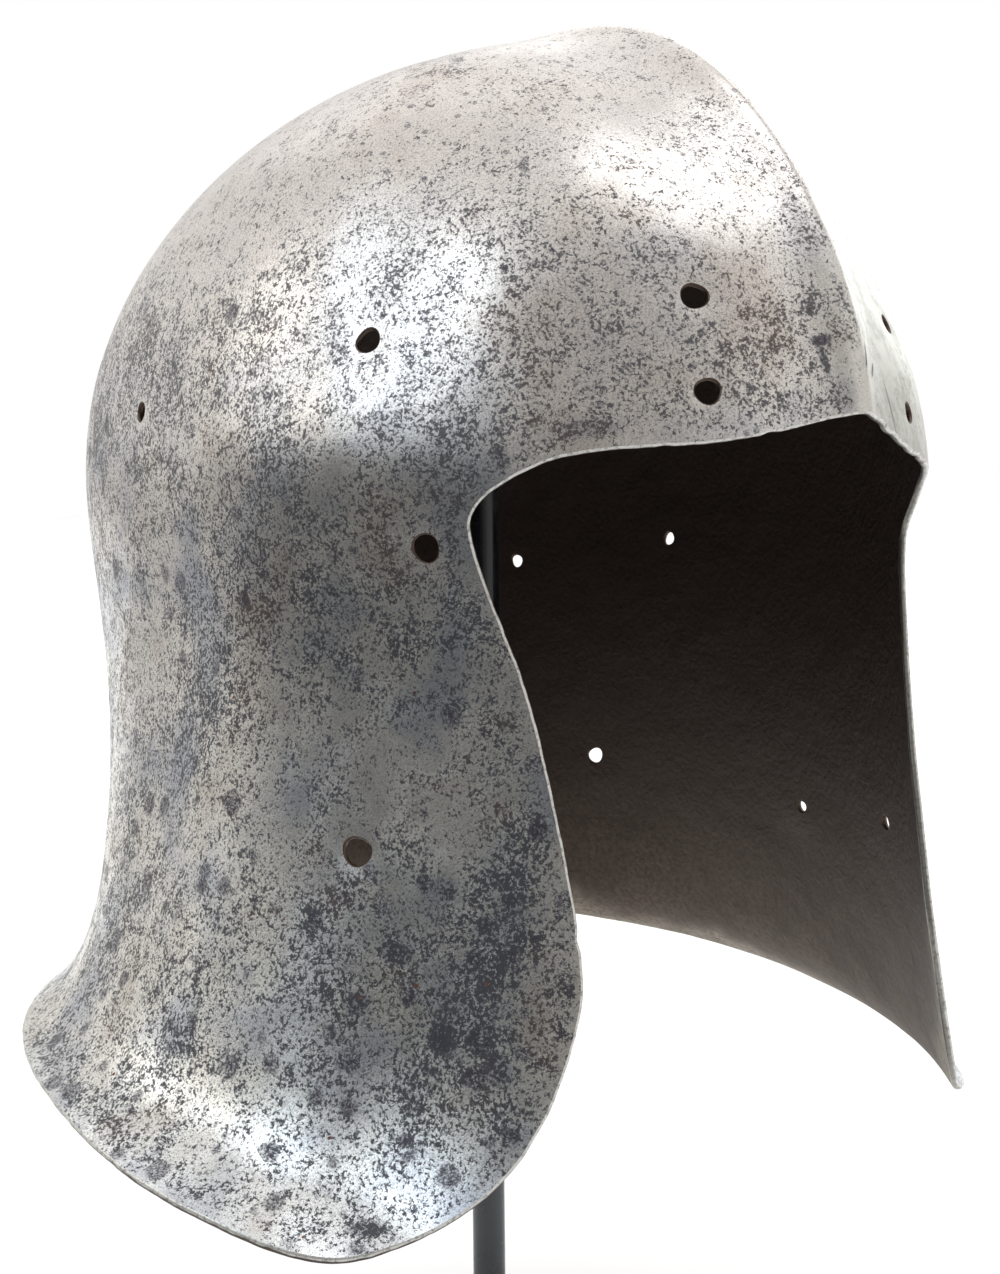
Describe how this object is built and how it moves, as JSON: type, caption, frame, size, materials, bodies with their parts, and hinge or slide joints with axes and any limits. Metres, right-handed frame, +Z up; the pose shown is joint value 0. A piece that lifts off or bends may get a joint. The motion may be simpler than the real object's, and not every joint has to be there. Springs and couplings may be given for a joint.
{
  "type": "sallet helmet on stand",
  "caption": "Open-faced steel sallet with a keeled one-piece skull, cheek plates and a flared tail, held on a plain black post.",
  "frame": {"origin": "centre of the underside of the stand's foot, below the post", "axes": "+Z up along the post; the face opening looks along -Y and the wearer's right is -X"},
  "size_m": [0.2554, 0.2494, 0.382],
  "materials": {
    "steel": "worn and pitted",
    "black_paint": "gloss"
  },
  "bodies": {
    "root": {"skull": "steel", "stand_post": "black_paint", "stand_pad": "black_paint", "stand_foot": "black_paint"}
  },
  "joints": []
}
